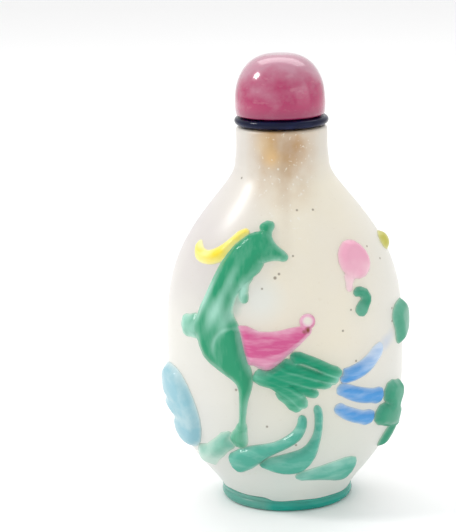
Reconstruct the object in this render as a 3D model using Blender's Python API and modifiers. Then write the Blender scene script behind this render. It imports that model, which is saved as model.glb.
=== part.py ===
"""A snuff bottle of milky glass with a carved relief of coloured glass, and its stopper.

Metres, +Z up. The origin is the middle of the underside, and the front of the bottle faces -Y.
The relief is drawn on a flat sheet, in degrees round the bottle and sheet units of height,
and then laid round the glass.
"""
import math

import bmesh
import bpy
import numpy as np
from mathutils import Vector

MM = 0.001

# Gaps between neighbouring pieces
GAP = 0.3 * MM

# The glass body, outside
BELLY_WIDTH = 38.6 * MM
BELLY_DEPTH = 28.6 * MM
BELLY_HEIGHT = 25.9 * MM
NECK_DIAMETER = 14.7 * MM
NECK_START = 55.8 * MM
LIP_HEIGHT = 61.8 * MM
LIP_ROUNDING = 0.5 * MM
BASE_WIDTH = 21.2 * MM
BASE_DEPTH = 20.4 * MM
SHOULDER_POWERS = (3.03, 1.52)
FLANK_POWERS = (3.45, 1.38)

# The hollow inside it, with the flat middle of its floor as a share of the lowest ring of the wall
WALL = 2.3 * MM
FLOOR = 3.2 * MM
BORE = 7.9 * MM
HOLLOW_POWERS = (5.0, 0.6)
FLOOR_FLAT = 0.45

# The foot: its hollow underside turns level at these shares of its radius and its depth
FOOT_WIDTH = 21.6 * MM
FOOT_HEIGHT = 1.7 * MM
FOOT_RECESS_DEPTH = 0.7 * MM
FOOT_RIM_WIDTH = 2.6 * MM
FOOT_RECESS_TURN = (0.8, 0.75)

# The collar over the neck's edge, and the stopper inside the collar's edge. Its underside draws
# in from the widest line, still bulging where it has come so far down
COLLAR_OVERHANG = 0.2 * MM
COLLAR_THICKNESS = 1.25 * MM
STOPPER_INSET = 0.3 * MM
STOPPER_UNDERCUT = 0.25 * MM
STOPPER_UNDER_BULGE = 0.1 * MM
STOPPER_UNDER_DROP = 0.55
STOPPER_HEIGHT = 9.7 * MM
STOPPER_WIDEST = 2.2 * MM
STOPPER_FULLNESS = 0.72

# The cork, and the spoon that hangs from it
CORK_LENGTH = 5.6 * MM
CORK_TAPER = 0.5 * MM
SPOON_REACH = 35.0 * MM
SPOON_STEM = 1.5 * MM
SPOON_BOWL_WIDTH = 3.0 * MM
SPOON_BOWL_LENGTH = 6.0 * MM
SPOON_BOWL_SECTIONS = (0.0, 0.15, 0.5, 0.85, 1.0)
SPOON_BOWL_SWELL = (0.2, 0.62)
SPOON_THICKNESS = 1.0 * MM
SPOON_TIP_THICKNESS = 0.6 * MM
SPOON_NECK_LENGTH = 3.0 * MM

# The relief, on a sheet that is drawn in units: how far it stands proud of the glass,
# the seam between two colours, and the sheet's width for each degree round the bottle
SHEET_UNIT = 1.0 * MM
RELIEF = 1.25
LOW_RELIEF = 0.95
SEAM = 0.3
SHEET_SCALE = 0.3
SHEET_GRID = 3.0

# A leaf of the back: how far it bows along its length, and its width, as shares of the largest
LEAF_BOW = ((0.3, 0.8), (0.65, 1.0))
LEAF_WIDTHS = (0.7, 1.0, 0.85, 0.15)

# Facets
ROUND_SIDES = 40
SMALL_SIDES = 20
SPOON_SIDES = 12
FLANK_RINGS = 7
SHOULDER_RINGS = 13
INNER_FLANK_RINGS = 7
INNER_SHOULDER_RINGS = 9
DOME_RINGS = 8
EDGE_STEPS = 5
BLOB_KNOTS = 8
CURVE_STEPS = 2

COLLAR_DIAMETER = NECK_DIAMETER + 2 * COLLAR_OVERHANG
STOPPER_DIAMETER = COLLAR_DIAMETER - 2 * STOPPER_INSET
STOPPER_BASE = STOPPER_DIAMETER - 2 * STOPPER_UNDERCUT
BASE_HEIGHT = FOOT_HEIGHT + GAP
COLLAR_LOW = LIP_HEIGHT + GAP
STOPPER_LOW = COLLAR_LOW + COLLAR_THICKNESS + GAP
CORK_TOP = COLLAR_LOW - GAP
SPOON_TOP = CORK_TOP - CORK_LENGTH - GAP


def clear_scene():
    for item in list(bpy.data.objects):
        bpy.data.objects.remove(item, do_unlink=True)


def new_collection(name):
    group = bpy.data.collections.new(name)
    bpy.context.scene.collection.children.link(group)
    return group


def glass(name, colour, roughness=0.12, metallic=0.0):
    material = bpy.data.materials.new(name)
    material.use_nodes = True
    shader = material.node_tree.nodes["Principled BSDF"]
    shader.inputs["Base Color"].default_value = (*colour, 1.0)
    shader.inputs["Roughness"].default_value = roughness
    shader.inputs["Metallic"].default_value = metallic
    return material


def add_object(name, mesh, group, material=None, smooth_angle=40.0):
    piece = bpy.data.objects.new(name, mesh)
    group.objects.link(piece)
    if material:
        mesh.materials.clear()
        mesh.materials.append(material)
    mesh.shade_smooth()
    mesh.set_sharp_from_angle(angle=math.radians(smooth_angle))
    return piece


def share(value, start, end):
    """How far a value is from start to end, kept between 0 and 1."""
    return min(max((value - start) / (end - start), 0.0), 1.0)


# The glass body's shape

def half_width(height):
    """Half the body's width at a height."""
    belly = BELLY_WIDTH / 2
    if height >= BELLY_HEIGHT:
        power, bend = SHOULDER_POWERS
        end = NECK_DIAMETER / 2
        far = share(height, BELLY_HEIGHT, NECK_START)
    else:
        power, bend = FLANK_POWERS
        end = BASE_WIDTH / 2
        far = share(height, BELLY_HEIGHT, BASE_HEIGHT)
    return end + (belly - end) * (1 - far**power) ** bend


def depth_share(half, end, belly):
    """Depth over width of a section between two others, each a (half width, half depth)."""
    far = share(half, end[0], belly[0])
    return end[1] / end[0] * (1 - far) + belly[1] / belly[0] * far


def half_depth(height):
    half = half_width(height)
    neck = (NECK_DIAMETER / 2, NECK_DIAMETER / 2)
    base = (BASE_WIDTH / 2, BASE_DEPTH / 2)
    end = neck if height >= BELLY_HEIGHT else base
    return half * depth_share(half, end, (BELLY_WIDTH / 2, BELLY_DEPTH / 2))


def hollow_half_width(height):
    """Half the width of the hollow inside."""
    bore = BORE / 2
    belly = BELLY_WIDTH / 2 - WALL
    if height >= BELLY_HEIGHT:
        power, bend = SHOULDER_POWERS
        far = share(height, BELLY_HEIGHT, NECK_START)
        return bore + (belly - bore) * (1 - far**power) ** bend
    power, bend = HOLLOW_POWERS
    far = share(height, BELLY_HEIGHT, BASE_HEIGHT + FLOOR)
    return belly * (1 - far**power) ** bend


def hollow_half_depth(height):
    half = hollow_half_width(height)
    belly = (BELLY_WIDTH / 2 - WALL, BELLY_DEPTH / 2 - WALL)
    return half * depth_share(half, (BORE / 2, BORE / 2), belly)


def oval(width_half, depth_half, height, sides):
    """One level section, as points that run round from the front."""
    turns = [2 * math.pi * step / sides for step in range(sides)]
    return [Vector((width_half * math.sin(t), -depth_half * math.cos(t), height)) for t in turns]


def loft(rings):
    """A closed skin over rings of points that follow each other, with both ends capped."""
    mesh = bpy.data.meshes.new("loft")
    cage = bmesh.new()
    made = [[cage.verts.new(point) for point in ring] for ring in rings]
    for low, high in zip(made, made[1:]):
        for side in range(len(low)):
            after = (side + 1) % len(low)
            cage.faces.new((low[side], low[after], high[after], high[side]))
    cage.faces.new(list(reversed(made[0])))
    cage.faces.new(made[-1])
    cage.to_mesh(mesh)
    cage.free()
    return mesh


def body_mesh():
    """The outside from base to lip, over the lip and down inside to the floor."""
    lip_low = LIP_HEIGHT - LIP_ROUNDING
    flank = np.linspace(BASE_HEIGHT, BELLY_HEIGHT, FLANK_RINGS)
    shoulder = np.linspace(BELLY_HEIGHT, NECK_START, SHOULDER_RINGS)[1:]
    outside = [*flank, *shoulder, lip_low]
    rings = [oval(half_width(z), half_depth(z), z, ROUND_SIDES) for z in outside]
    neck_half = NECK_DIAMETER / 2
    bore_half = BORE / 2
    rings.append(oval(neck_half - LIP_ROUNDING, neck_half - LIP_ROUNDING, LIP_HEIGHT, ROUND_SIDES))
    rings.append(oval(bore_half + LIP_ROUNDING, bore_half + LIP_ROUNDING, LIP_HEIGHT, ROUND_SIDES))
    floor = BASE_HEIGHT + FLOOR
    inner_shoulder = np.linspace(NECK_START, BELLY_HEIGHT, INNER_SHOULDER_RINGS)
    closing = np.sin(np.linspace(0, math.pi / 2, INNER_FLANK_RINGS))[1:-1]
    inner_flank = BELLY_HEIGHT + (floor - BELLY_HEIGHT) * closing
    inside = [lip_low, *inner_shoulder, *inner_flank]
    rings += [oval(hollow_half_width(z), hollow_half_depth(z), z, ROUND_SIDES) for z in inside]
    floor_half = FLOOR_FLAT * hollow_half_width(inner_flank[-1])
    rings.append(oval(floor_half, floor_half, floor, ROUND_SIDES))
    return loft(rings)


def turned(name, profile, group, material, sides=ROUND_SIDES, depth=1.0):
    """A turned piece from a profile of (radius, height) that runs down its outer side."""
    mesh = bpy.data.meshes.new(name)
    points = [(radius, 0.0, height) for radius, height in profile]
    mesh.from_pydata(points, [(i, i + 1) for i in range(len(points) - 1)], [])
    piece = bpy.data.objects.new(name, mesh)
    group.objects.link(piece)
    mesh.materials.append(material)
    screw = piece.modifiers.new("turn", "SCREW")
    screw.steps = sides
    screw.render_steps = sides
    screw.use_merge_vertices = True
    screw.merge_threshold = 0.00001
    screw.use_smooth_shade = True
    piece.scale.y = depth
    return piece


def arc(centre_radius, centre_height, radius, start, end, steps):
    """Points of a round edge in a profile, by degrees from straight out."""
    angles = [math.radians(a) for a in np.linspace(start, end, steps)]
    return [(centre_radius + radius * math.cos(a), centre_height + radius * math.sin(a)) for a in angles]


def foot(group, material):
    """A low foot with a rounded edge, its underside hollowed so that it stands on a flat rim."""
    rounding = FOOT_HEIGHT / 2
    outer = FOOT_WIDTH / 2 - rounding
    recess = outer - FOOT_RIM_WIDTH
    edge = arc(outer, rounding, rounding, 90, -90, EDGE_STEPS)
    profile = [(0.0, FOOT_HEIGHT), *edge, (recess, 0.0)]
    inward, upward = FOOT_RECESS_TURN
    profile += [(recess * inward, FOOT_RECESS_DEPTH * upward), (0.0, FOOT_RECESS_DEPTH)]
    return turned("foot", profile, group, material, depth=BASE_DEPTH / BASE_WIDTH)


def collar(group, material):
    rounding = COLLAR_THICKNESS / 2
    middle = COLLAR_LOW + rounding
    edge = arc(COLLAR_DIAMETER / 2 - rounding, middle, rounding, 90, -90, EDGE_STEPS)
    return turned("collar", [(0.0, middle + rounding), *edge, (0.0, COLLAR_LOW)], group, material)


def stopper(group, material):
    """A domed knob, widest a little above its base."""
    middle = STOPPER_LOW + STOPPER_WIDEST
    widest = STOPPER_DIAMETER / 2
    rise = STOPPER_HEIGHT - STOPPER_WIDEST
    turns = np.linspace(math.pi / 2, 0, DOME_RINGS)[1:]
    dome = [(widest * math.cos(t) ** STOPPER_FULLNESS, middle + rise * math.sin(t)) for t in turns]
    foot_half = STOPPER_BASE / 2
    bulge = ((widest + foot_half) / 2 + STOPPER_UNDER_BULGE, middle - STOPPER_UNDER_DROP * STOPPER_WIDEST)
    profile = [(0.0, middle + rise), *dome, bulge, (foot_half, STOPPER_LOW), (0.0, STOPPER_LOW)]
    return turned("stopper", profile, group, material)


def cork(group, material):
    """A tapered plug that hangs in the bore."""
    top = BORE / 2 - GAP
    profile = [(0.0, CORK_TOP), (top, CORK_TOP), (top - CORK_TAPER / 2, CORK_TOP - CORK_LENGTH)]
    return turned("cork", [*profile, (0.0, CORK_TOP - CORK_LENGTH)], group, material, SMALL_SIDES)


def spoon_mesh():
    """A round stem that flattens into a small shovel at its lower end."""
    low = SPOON_TOP - SPOON_REACH
    stem = SPOON_STEM / 2
    bowl_top = low + SPOON_BOWL_LENGTH
    start, spread = SPOON_BOWL_SWELL
    rings = []
    for part in SPOON_BOWL_SECTIONS:
        swell = math.sin(math.pi * (start + spread * part))
        wide = stem + (SPOON_BOWL_WIDTH / 2 - stem) * swell
        thick = SPOON_TIP_THICKNESS + (SPOON_THICKNESS - SPOON_TIP_THICKNESS) * part
        rings.append(oval(wide, thick / 2, low + SPOON_BOWL_LENGTH * part, SPOON_SIDES))
    rings.append(oval(stem, stem, bowl_top + SPOON_NECK_LENGTH, SPOON_SIDES))
    rings.append(oval(stem, stem, SPOON_TOP, SPOON_SIDES))
    return loft(rings)


# The relief, drawn flat and laid round the glass

def on_sheet(degrees, height):
    return Vector((degrees * SHEET_SCALE, height))


def stroke(spine, widths, grow=0.0):
    """The outline of a stroke: its middle line in (degrees, height) with a width at each point."""
    middle = [on_sheet(*point) for point in spine]
    ahead = [(b - a).normalized() for a, b in zip(middle, middle[1:])]
    headings = [ahead[0], *[(a + b).normalized() for a, b in zip(ahead, ahead[1:])], ahead[-1]]
    one_side = []
    other_side = []
    for point, heading, width in zip(middle, headings, widths):
        across = Vector((-heading.y, heading.x)) * (width / 2 + grow)
        one_side.append(point - across)
        other_side.append(point + across)
    one_side[0] -= ahead[0] * grow
    other_side[0] -= ahead[0] * grow
    one_side[-1] += ahead[-1] * grow
    other_side[-1] += ahead[-1] * grow
    return [*one_side, *reversed(other_side)]


def blob(centre, half_wide, half_high, grow=0.0):
    """An oval, by its centre in (degrees, height) and its half sizes."""
    middle = on_sheet(*centre)
    outline = []
    for step in range(BLOB_KNOTS):
        turn = 2 * math.pi * step / BLOB_KNOTS
        reach = Vector((half_wide + grow, half_high + grow))
        outline.append(middle + Vector((reach.x * math.cos(turn), reach.y * math.sin(turn))))
    return outline


def field(points, grow=0.0):
    """A closed outline through points in (degrees, height), given anticlockwise."""
    flat = [on_sheet(*point) for point in points]
    outline = []
    for before, here, after in zip([flat[-1], *flat], flat, [*flat[1:], flat[0]]):
        heading = (after - before).normalized()
        outline.append(here + Vector((heading.y, -heading.x)) * grow)
    return outline


def slab(outline, low, high):
    """A flat piece with a smooth outline, between two levels."""
    curve = bpy.data.curves.new("outline", "CURVE")
    curve.dimensions = "2D"
    curve.fill_mode = "BOTH"
    curve.resolution_u = CURVE_STEPS
    curve.extrude = (high - low) / 2
    spline = curve.splines.new("BEZIER")
    spline.bezier_points.add(len(outline) - 1)
    spline.use_cyclic_u = True
    for knot, point in zip(spline.bezier_points, outline):
        knot.co = (point.x, point.y, 0.0)
        knot.handle_left_type = "AUTO"
        knot.handle_right_type = "AUTO"
    holder = bpy.data.objects.new("outline", curve)
    bpy.context.scene.collection.objects.link(holder)
    graph = bpy.context.evaluated_depsgraph_get()
    mesh = bpy.data.meshes.new_from_object(holder.evaluated_get(graph))
    bpy.data.objects.remove(holder, do_unlink=True)
    bpy.data.curves.remove(curve)
    flat = bmesh.new()
    flat.from_mesh(mesh)
    bmesh.ops.remove_doubles(flat, verts=flat.verts, dist=0.001)
    for vert in flat.verts:
        vert.co.z = high if vert.co.z > 0 else low
    bmesh.ops.recalc_face_normals(flat, faces=flat.faces)
    flat.to_mesh(mesh)
    flat.free()
    return mesh


def combine(name, mesh, others, operation):
    """One flat mesh after a union with the others, or a cut by them."""
    base = bpy.data.objects.new(name, mesh)
    bpy.context.scene.collection.objects.link(base)
    helpers = []
    for number, other in enumerate(others):
        helper = bpy.data.objects.new(f"{name}_{number}", other)
        bpy.context.scene.collection.objects.link(helper)
        helpers.append(helper)
        step = base.modifiers.new(f"step_{number}", "BOOLEAN")
        step.operation = operation
        step.solver = "EXACT"
        step.object = helper
    graph = bpy.context.evaluated_depsgraph_get()
    result = bpy.data.meshes.new_from_object(base.evaluated_get(graph))
    for item in [base, *helpers]:
        bpy.data.objects.remove(item, do_unlink=True)
    return result


def glass_point(turn, height):
    return Vector((half_width(height) * math.sin(turn), -half_depth(height) * math.cos(turn), height))


def laid_on_glass(flat_point):
    """Where a point of the sheet lands: round by x, up by y, and off the glass by z."""
    turn = math.radians(flat_point.x / SHEET_SCALE)
    height = flat_point.y * SHEET_UNIT
    step = 0.01
    round_way = glass_point(turn + step, height) - glass_point(turn - step, height)
    up_way = glass_point(turn, height + step * SHEET_UNIT) - glass_point(turn, height - step * SHEET_UNIT)
    outward = round_way.cross(up_way).normalized()
    return glass_point(turn, height) + outward * flat_point.z * SHEET_UNIT


def relief(name, shapes, group, material, seams=()):
    """A pad of coloured glass on the body. Each shape is (maker, its values, how far proud).

    The shapes in seams belong to neighbours, and the pad stops short of them.
    """
    slabs = [slab(make(*values), GAP / SHEET_UNIT, proud) for make, values, proud in shapes]
    flat = combine(name, slabs[0], slabs[1:], "UNION") if len(slabs) > 1 else slabs[0]
    cutters = [slab(make(*values, grow=SEAM), -RELIEF, 2 * RELIEF) for make, values, proud in seams]
    if cutters:
        flat = combine(name, flat, cutters, "DIFFERENCE")
    sheet = bmesh.new()
    sheet.from_mesh(flat)
    bmesh.ops.remove_doubles(sheet, verts=sheet.verts, dist=0.0005)
    bmesh.ops.dissolve_limit(sheet, angle_limit=0.01, verts=sheet.verts, edges=sheet.edges)
    for axis in (0, 1):
        across = Vector((axis == 0, axis == 1, 0.0))
        places = [vert.co[axis] for vert in sheet.verts]
        for line in range(math.ceil(min(places) / SHEET_GRID), math.ceil(max(places) / SHEET_GRID)):
            everything = [*sheet.verts, *sheet.edges, *sheet.faces]
            bmesh.ops.bisect_plane(sheet, geom=everything, dist=0.02,
                                   plane_co=across * line * SHEET_GRID, plane_no=across)
    bmesh.ops.triangulate(sheet, faces=sheet.faces)
    for vert in sheet.verts:
        vert.co = laid_on_glass(vert.co)
    mesh = bpy.data.meshes.new(name)
    sheet.to_mesh(mesh)
    sheet.free()
    bpy.data.meshes.remove(flat)
    return add_object(name, mesh, group, material, smooth_angle=50.0)


PHOENIX = [
    (stroke, ([(-18.5, 43.8), (-24.4, 41.7), (-29.4, 39.1), (-33.5, 35.7), (-34.9, 33.3), (-33.4, 30.9),
               (-30.9, 28.5), (-26.5, 26.7), (-22.7, 25), (-19.7, 23.4), (-19.1, 22), (-19.8, 20.3),
               (-20.6, 18), (-21.3, 16.3), (-21.5, 15.4)],
              [5.2, 5.5, 4.6, 4.5, 5.9, 6.9, 6.7, 5, 3.5, 2.4, 1.7, 1.3, 1, 0.9, 1.1]), RELIEF),
    (field, ([(-7.9, 46.4), (-13.3, 46.8), (-22.4, 46.4), (-28.9, 43.7), (-22.6, 41.5), (-17.1, 40.7),
              (-12.8, 42.2), (-8.5, 42.8), (-2.8, 42.9), (0.2, 42.8), (0.3, 43.2), (-3.6, 44.4),
              (-6.3, 45.4)],), RELIEF),
    (stroke, ([(-11.4, 48.2), (-11.1, 47.6), (-11.2, 46.9), (-11.4, 46.2)], [2.3, 3.1, 2.3, 2.2]), LOW_RELIEF),
    (stroke, ([(-56.5, 31.2), (-51, 31.3), (-43, 31.6)], [2.3, 2.9, 2.8]), LOW_RELIEF),
    (stroke, ([(-19.6, 40.8), (-20.5, 39), (-20.5, 37.4), (-19.2, 36.2)], [1.9, 1.2, 1, 0.4]), LOW_RELIEF),
    (stroke, ([(-21.4, 16), (-22.6, 14.8), (-24.4, 13.5), (-26, 12.7)], [1, 1.6, 2.4, 2]), LOW_RELIEF),
]
WING = [
    (field, ([(6.3, 32.1), (-3.4, 31.4), (-12, 31.3), (-22.4, 32.2), (-21.5, 29.4), (-20.2, 27.1),
              (-18.4, 26.1), (-14.5, 26), (-9, 25.2), (-5.5, 25.8), (-0.5, 27.4), (5.3, 29.2),
              (8.9, 30.5), (11.2, 31.6)],), RELIEF),
    (blob, ((9.5, 32.9), 1, 1.15), RELIEF),
]
TAIL = [
    ([(2.5, 27.5), (7.8, 26.8), (13.7, 25.9), (19.2, 24.9), (25, 23.9)], [1.1, 1.5, 1.5, 1.5, 1.2]),
    ([(-2.3, 26.3), (5.1, 25.2), (14, 23.9), (23.5, 23)], [1.6, 1.8, 1.8, 1.3]),
    ([(-7.2, 25.2), (0.7, 24.2), (8.6, 23.3), (14.9, 22.5), (20.1, 22.2)], [1.6, 2, 1.7, 1.1, 0.5]),
    ([(-13, 24.6), (-3.8, 23.4), (4.1, 22.4), (9.9, 21.5), (13.5, 20.8)], [1.5, 1.9, 1.9, 1.6, 0.8]),
    ([(-14.4, 24), (-6, 23), (0.6, 21.7), (5.4, 20.2), (7.6, 19)], [1.1, 1.6, 1.9, 1.6, 0.8]),
    ([(-3.9, 21.6), (0.5, 20.1), (4.9, 18.5)], [0.8, 1.2, 0.9]),
]


def tail_feathers():
    """Feathers side by side from the wing to their tips, every other one lower."""
    heights = (RELIEF, LOW_RELIEF)
    return [(stroke, feather, heights[number % 2]) for number, feather in enumerate(TAIL)]


def build_relief(group):
    green = (0.07, 0.40, 0.26)
    teal = (0.10, 0.42, 0.33)
    blue = (0.12, 0.33, 0.70)
    tail = tail_feathers()
    relief("phoenix", PHOENIX, group, glass("green_glass", green))
    relief("wing", WING, group, glass("pink_glass", (0.62, 0.10, 0.32)), seams=PHOENIX)
    relief("tail", tail, group, glass("deep_green_glass", (0.01, 0.30, 0.14)), seams=[*PHOENIX, *WING])
    ribbon = (stroke, ([(-23.7, 46.6), (-31.4, 44.5), (-36, 43.5), (-41.7, 42.7), (-47.7, 42.4), (-53.7, 42.7),
                        (-58, 43.5), (-59.9, 44.2)], [1.1, 2.2, 2.1, 1.9, 1.5, 1.5, 1.4, 0.8]), LOW_RELIEF)
    relief("crest_ribbon", [ribbon], group, glass("yellow_glass", (0.90, 0.80, 0.08)), seams=PHOENIX)
    plumes = {
        "upper_plume": ([(26, 23.5), (30.1, 23.6), (35.1, 24), (40.4, 24.7), (44.9, 25.7), (51.2, 27.5)],
                        [1.9, 2.3, 2.4, 2.4, 2.3, 1.2]),
        "middle_plume": ([(24.5, 21.5), (27.5, 21.2), (32.9, 20.4), (38.6, 19.8), (45.1, 19.4), (52, 19.1)],
                         [1.4, 1.9, 2.2, 2.3, 2.2, 2.1]),
        "lower_plume": ([(23.8, 18.6), (26.7, 17.8), (32.2, 16.9), (38.2, 16.2), (46.5, 15.7)], [1.2, 1.7, 2, 2, 1.8]),
    }
    branch = [
        (stroke, ([(56, 19.4), (65, 18.7), (73, 18.2)], [2.6, 3.8, 3.2]), RELIEF),
        (stroke, ([(50, 16.1), (59, 15.4), (68, 14.9), (74, 14.5)], [2.4, 3.6, 4, 3]), RELIEF),
        (stroke, ([(75.5, 13.8), (73, 11.6), (64, 10.1)], [3, 3.6, 1.4]), LOW_RELIEF),
    ]
    relief("side_branch", branch, group, glass("branch_glass", green))
    for name, (spine, widths) in plumes.items():
        relief(name, [(stroke, (spine, widths), LOW_RELIEF)], group, glass(name + "_glass", blue),
               seams=[*tail, *branch])
    leaf = (stroke, ([(77, 33.2), (76.4, 31.7), (74.6, 29.8), (72, 28.1), (69, 26.9)], [3.6, 7.3, 7.4, 4.2, 1.3]), RELIEF)
    relief("side_leaf", [leaf], group, glass("leaf_glass", green))
    relief("bud", [(blob, ((83, 43), 2.5, 1.4), LOW_RELIEF)], group, glass("bud_glass", (0.70, 0.68, 0.20)))
    blossom = [
        (blob, ((40.3, 41.8), 3.15, 2.95), RELIEF),
        (stroke, ([(34.8, 39.9), (33.2, 38.3), (32.5, 37.2)], [1.6, 1.1, 0.7]), LOW_RELIEF),
    ]
    relief("blossom", blossom, group, glass("pale_pink_glass", (0.75, 0.42, 0.52)))
    comma = (stroke, ([(35.4, 36.6), (38.8, 36.8), (42.4, 35.7), (40.2, 34.6), (37.2, 33.3)], [0.8, 1.4, 1.8, 1.9, 1.6]), RELIEF)
    relief("small_leaf", [comma], group, glass("small_leaf_glass", green))
    cloud = [(field, ([(-71, 23.4), (-79, 23.4), (-88, 22.6), (-96, 21), (-98, 19.2), (-92, 17.5), (-95, 16.3),
                      (-88, 15.3), (-76, 15), (-79, 13.2), (-78, 11.6), (-70, 10.3), (-58, 10.9), (-51, 12.9),
                      (-48.5, 15.6), (-50, 18), (-53.3, 20), (-57.5, 21.7), (-64, 23)],), RELIEF)]
    relief("cloud", cloud, group, glass("pale_blue_glass", (0.38, 0.62, 0.74)))
    first = (stroke, ([(6.3, 17.5), (6.6, 16.5), (5.6, 15.2), (3.1, 14), (-1.2, 13), (-6.5, 12.2), (-12.5, 11.5),
                       (-19, 10.6), (-26.4, 9.5), (-32.4, 8.7)],
                      [0.5, 1.1, 1.3, 1.6, 1.6, 1.7, 2.3, 3.2, 3.4, 2.4]), RELIEF)
    relief("bent_leaf", [first], group, glass("teal_glass", teal), seams=PHOENIX)
    second = (stroke, ([(13.3, 19), (14.3, 17.8), (14.6, 16.2), (14.3, 14.5), (12.9, 12.8), (10.6, 11.2),
                        (5.8, 9.8), (-0.3, 9.3), (-7.1, 9.2), (-12.3, 9.3), (-15.5, 9.4)],
                       [0.5, 1, 1, 1.1, 1.6, 2.6, 3.7, 3.5, 2.6, 1.5, 0.6]), RELIEF)
    relief("outer_leaf", [second], group, glass("outer_leaf_glass", teal), seams=[first])
    third = (stroke, ([(4.8, 6.8), (11.6, 7), (20.2, 7.2), (29.5, 7.3), (38, 7.2), (45, 6.8)],
                      [0.6, 1.8, 2.6, 3.6, 4.2, 2.6]), LOW_RELIEF)
    relief("base_leaf", [third], group, glass("base_leaf_glass", teal), seams=[second])
    rock = (stroke, ([(-28, 13.7), (-36, 12), (-45, 10.3), (-60, 8.6)], [1.3, 2, 2.2, 1.9]), LOW_RELIEF)
    relief("rock", [rock], group, glass("rock_glass", (0.40, 0.62, 0.54)), seams=[*PHOENIX, first, *cloud])


def leaf(root, tip, bow, width):
    """A pointed leaf from its root to its tip, bowed sideways by so much."""
    start = on_sheet(*root)
    end = on_sheet(*tip)
    along = end - start
    side = Vector((-along.y, along.x)).normalized() * bow
    spine = [root]
    for part, lean in LEAF_BOW:
        point = start + along * part + side * lean
        spine.append((point.x / SHEET_SCALE, point.y))
    return (stroke, ([*spine, tip], [width * part for part in LEAF_WIDTHS]), RELIEF)


def build_back(group):
    """The side that is turned away carries a plainer spray: a stem with leaves and one blossom."""
    stem = (stroke, ([(200, 10), (193, 17), (186, 24), (181, 31), (179, 35.5)], [2.2, 1.7, 1.5, 1.4, 1.1]), RELIEF)
    leaves = [leaf((195, 15), (217, 20.5), -0.8, 3.0), leaf((188, 21), (163, 25), 0.9, 3.0),
              leaf((184, 27.5), (203, 34), 0.8, 2.6)]
    relief("back_spray", [stem, *leaves], group, glass("spray_glass", (0.07, 0.40, 0.26)))
    relief("back_blossom", [(blob, ((178.5, 38.6), 2.7, 2.5), RELIEF)], group,
           glass("back_blossom_glass", (0.62, 0.16, 0.34)), seams=[stem])


def build():
    clear_scene()
    group = new_collection("snuff_bottle")
    add_object("bottle_body", body_mesh(), group, glass("milky_glass", (0.80, 0.78, 0.70), 0.08))
    foot(group, glass("foot_glass", (0.01, 0.24, 0.18)))
    collar(group, glass("collar_glass", (0.006, 0.008, 0.022), 0.1))
    stopper(group, glass("stopper_glass", (0.50, 0.16, 0.24), 0.15))
    cork(group, glass("cork", (0.45, 0.26, 0.11), 0.8))
    add_object("spoon", spoon_mesh(), group, glass("spoon_bone", (0.62, 0.48, 0.32), 0.5))
    build_relief(group)
    build_back(group)


build()
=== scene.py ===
import math

import bmesh
import bpy
import numpy as np
from mathutils import Matrix, Vector
from mathutils.bvhtree import BVHTree


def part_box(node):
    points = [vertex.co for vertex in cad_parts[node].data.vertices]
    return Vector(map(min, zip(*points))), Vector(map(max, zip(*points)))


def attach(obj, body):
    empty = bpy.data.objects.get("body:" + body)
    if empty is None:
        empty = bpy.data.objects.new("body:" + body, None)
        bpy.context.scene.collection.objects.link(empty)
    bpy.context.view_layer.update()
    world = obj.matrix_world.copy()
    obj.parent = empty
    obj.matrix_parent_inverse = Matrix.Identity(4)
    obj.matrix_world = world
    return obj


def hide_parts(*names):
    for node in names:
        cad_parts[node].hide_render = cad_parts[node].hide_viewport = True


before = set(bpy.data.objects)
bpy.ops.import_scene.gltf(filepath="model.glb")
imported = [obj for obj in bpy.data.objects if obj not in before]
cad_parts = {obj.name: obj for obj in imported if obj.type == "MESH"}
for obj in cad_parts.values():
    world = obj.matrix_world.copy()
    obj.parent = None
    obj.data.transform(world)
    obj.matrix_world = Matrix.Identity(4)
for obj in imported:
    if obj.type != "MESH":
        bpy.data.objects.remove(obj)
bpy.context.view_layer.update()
MM = 0.001


# The bottle: a flattened pear of milky glass, blown hollow and polished, with a ground lip. It is
# a little see-through, so that the cork glows amber in the neck, and it holds fine bubbles and specks.
BODY_LOW, BODY_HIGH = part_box("bottle_body")
BELLY_HALF = BODY_HIGH.x
BELLY_DEEP = BODY_HIGH.y
BELLY_HEIGHT = 25.9 * MM
BASE_HALF = 10.6 * MM
BASE_DEEP = 10.2 * MM
BASE_SUNK = 0.32 * MM
NECK_HALF = 7.35 * MM
NECK_START = 55.8 * MM
NECK_FLARE = 0.25 * MM
FLARE_REACH = 1.5 * MM
LIP_ROUNDING = 0.6 * MM
BORE_HALF = 3.95 * MM
WALL = 2.3 * MM
FLOOR = 3.2 * MM
SHOULDER_CURVE = (3.03, 1.52)
FLANK_CURVE = (3.45, 1.38)
HOLLOW_CURVE = (5.0, 0.6)
SPIN_STEPS = 120
SAME_PLACE = 0.001 * MM
HAIR = 0.1 * MM

CREAM = (246, 239, 220)
# Painted shade for the glass low down.
SHADED_COOL_CREAM = (224, 231, 224)
CLOUDY_CREAM = (244, 240, 230)
# A painted sheen for both sides, and painted shade for the left shoulder.
SHEEN_SILVER = (236, 236, 232)
SHADE_ROSY_GREY = (216, 207, 208)
NECK_GREY = (214, 208, 200)
FINE_TAN = (206, 188, 154)
STAIN = (204, 164, 112)
# The painted shadow of the spoon, below the neck.
SPOON_SHADOW_BROWN = (184, 156, 126)
BUBBLE_WHITE = (252, 248, 240)
MIST_WHITE = (238, 244, 240)
SPECK_BROWN = (112, 92, 62)
SPECK_SOFT = 0.16 * MM

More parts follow.
